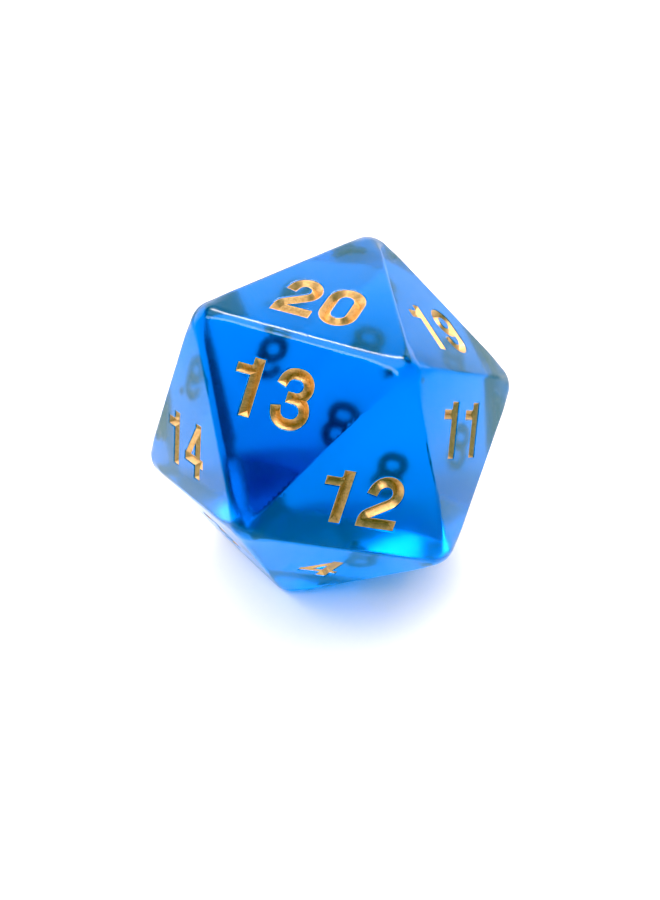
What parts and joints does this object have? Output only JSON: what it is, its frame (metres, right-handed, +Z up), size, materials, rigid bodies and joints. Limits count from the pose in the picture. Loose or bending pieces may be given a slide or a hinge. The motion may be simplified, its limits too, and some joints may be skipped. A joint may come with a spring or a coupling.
{
  "type": "countdown die",
  "caption": "Clear blue icosahedral countdown die with rounded edges and gold numbers in V-cut grooves, resting on one face.",
  "frame": {"origin": "centre of the resting face, the one with the 1, under the middle of the die", "axes": "+Z up, square to the face with the 20; the 20 reads upright from the -Y side, with +X to its right"},
  "size_m": [0.0586, 0.0662, 0.055],
  "materials": {
    "clear_blue_casting": "polished, transparent deep blue",
    "gold_paint": "metallic gold hobby paint, satin, fine grain"
  },
  "bodies": {
    "root": {"body": "clear_blue_casting", "numeral_01": "gold_paint", "numeral_02": "gold_paint", "numeral_03": "gold_paint", "numeral_04": "gold_paint", "numeral_05": "gold_paint", "numeral_06": "gold_paint", "numeral_07": "gold_paint", "numeral_08": "gold_paint", "numeral_09": "gold_paint", "numeral_10": "gold_paint", "numeral_11": "gold_paint", "numeral_12": "gold_paint", "numeral_13": "gold_paint", "numeral_14": "gold_paint", "numeral_15": "gold_paint", "numeral_16": "gold_paint", "numeral_17": "gold_paint", "numeral_18": "gold_paint", "numeral_19": "gold_paint", "numeral_20": "gold_paint"}
  },
  "joints": []
}
